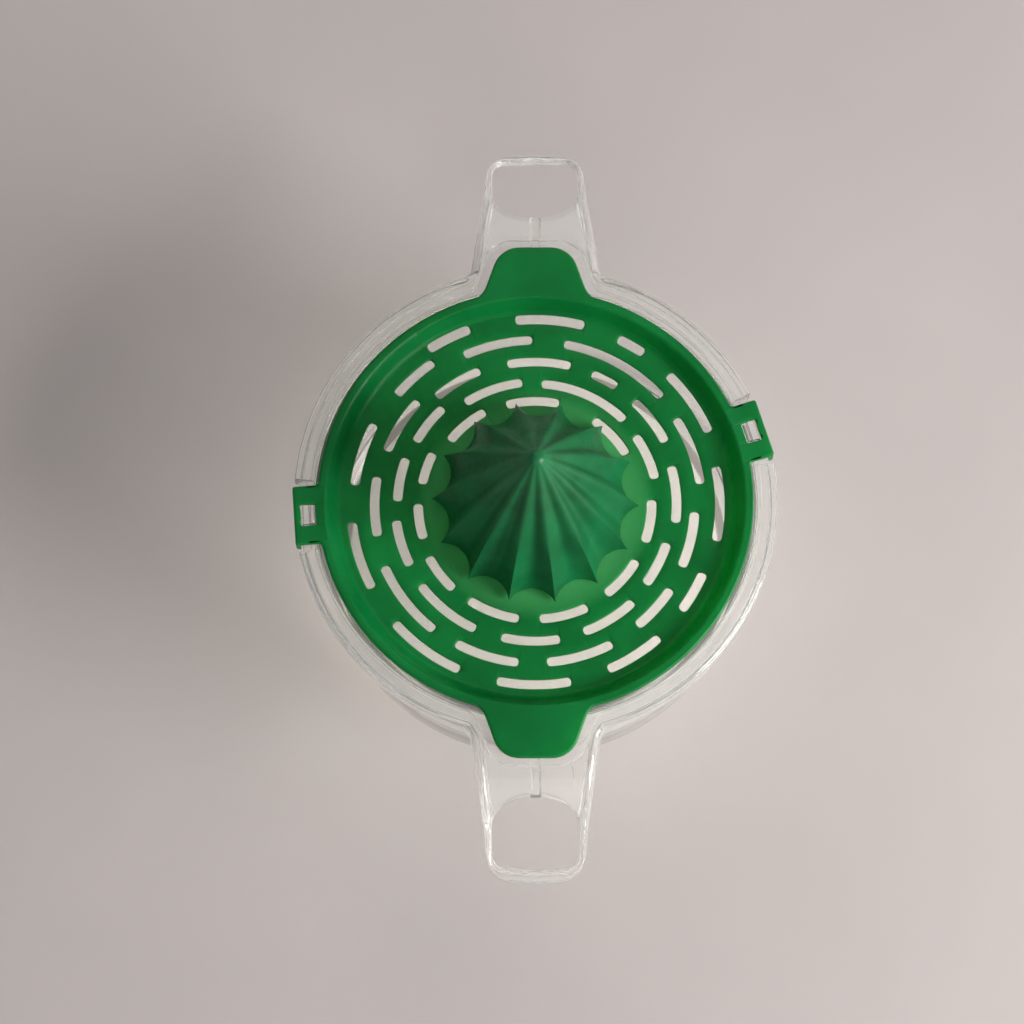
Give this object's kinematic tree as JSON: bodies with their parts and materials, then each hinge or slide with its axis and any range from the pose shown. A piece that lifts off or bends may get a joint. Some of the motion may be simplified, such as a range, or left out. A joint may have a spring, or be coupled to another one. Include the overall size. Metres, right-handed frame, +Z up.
{
  "type": "citrus juicer",
  "caption": "Hand citrus juicer: clear round jug with two sloping handles, slotted green strainer and lift-off fluted reamer.",
  "frame": {"origin": "centre of the jug's flat bottom face, which stands on the table", "axes": "+Z up along the jug's axis; the two handles lie along +Y and -Y"},
  "size_m": [0.1424, 0.2216, 0.1242],
  "materials": {
    "clear_plastic": "clear moulded polystyrene, glossy",
    "green_plastic": "translucent green moulded plastic, satin gloss",
    "dark_green_plastic": "deeper green moulded plastic, satin"
  },
  "bodies": {
    "jug": {"jug": "clear_plastic"},
    "strainer": {"strainer": "green_plastic"},
    "reamer": {"reamer": "dark_green_plastic"}
  },
  "joints": [
    {"name": "strainer_lift", "type": "slide", "parent": "jug", "child": "strainer", "axis": [0, 0, 1], "range_m": [0, 0.06]},
    {"name": "reamer_lift", "type": "slide", "parent": "strainer", "child": "reamer", "axis": [0, 0, 1], "range_m": [0, 0.04]}
  ]
}
